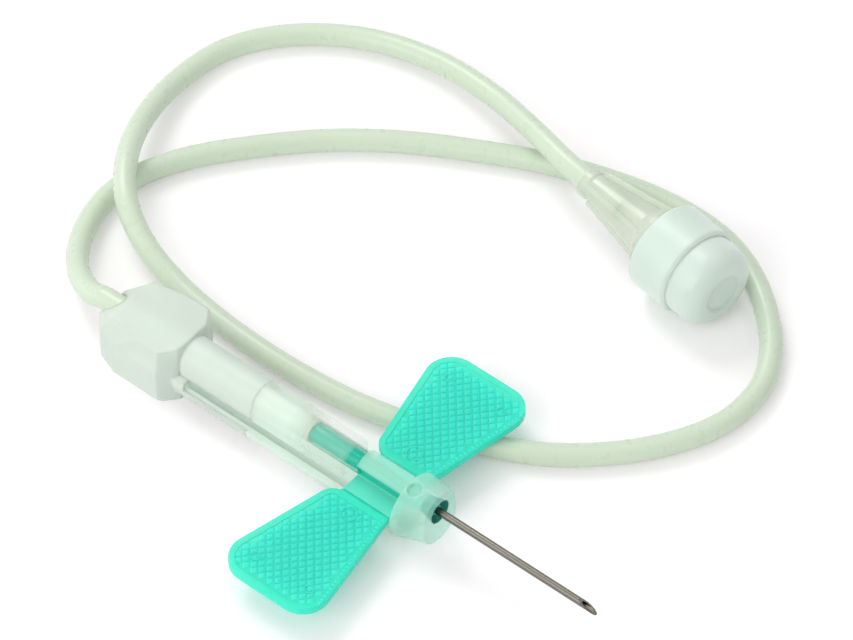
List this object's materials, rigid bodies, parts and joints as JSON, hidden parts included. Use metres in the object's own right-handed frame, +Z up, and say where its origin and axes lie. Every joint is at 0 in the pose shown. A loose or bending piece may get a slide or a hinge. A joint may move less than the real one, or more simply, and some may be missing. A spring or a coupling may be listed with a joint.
{
  "type": "winged infusion set",
  "caption": "Winged infusion set with a bare bevelled cannula, folding textured wings, a sliding needle sleeve with a grip, soft tubing and a capped female luer connector.",
  "frame": {"origin": "on the table, midway along the needle and sleeve, below the needle's axis", "axes": "+X forward along the needle, +Y to its left, +Z up from the table"},
  "size_m": [0.0805, 0.0675, 0.0098],
  "materials": {
    "cannula": "drawn stainless tube",
    "hub": "translucent green moulding",
    "left_wing": "soft translucent turquoise moulding",
    "right_wing": "soft translucent turquoise moulding",
    "sleeve": "milky translucent moulding",
    "collar": "milky translucent moulding",
    "grip": "milky translucent moulding",
    "tubing": "soft clear vinyl tube",
    "connector": "clear moulding",
    "luer_cap": "milky moulding"
  },
  "bodies": {
    "needle_body": {"cannula": "cannula", "hub": "hub", "tubing": "tubing", "connector": "connector"},
    "sleeve_body": {"sleeve": "sleeve", "collar": "collar", "grip": "grip"},
    "left_wing": {"left_wing": "left_wing"},
    "right_wing": {"right_wing": "right_wing"},
    "luer_cap": {"luer_cap": "luer_cap"}
  },
  "joints": [
    {"name": "sleeve_slide", "type": "slide", "parent": "needle_body", "child": "sleeve_body", "axis": [1, 0, 0], "range_m": [0, 0.02]},
    {"name": "left_wing_fold", "type": "hinge", "parent": "needle_body", "child": "left_wing", "pos_m": [0.00455, 0.0032, 0.0033], "axis": [1, 0, 0], "range_deg": [0, 85]},
    {"name": "right_wing_fold", "type": "hinge", "parent": "needle_body", "child": "right_wing", "pos_m": [0.00455, -0.0032, 0.0033], "axis": [-1, 0, 0], "range_deg": [0, 85]},
    {"name": "cap_turn", "type": "hinge", "parent": "needle_body", "child": "luer_cap", "pos_m": [0.01375, 0.04015, 0.0049], "axis": [0.9863, -0.165, 0], "range_deg": [0, 180]}
  ]
}
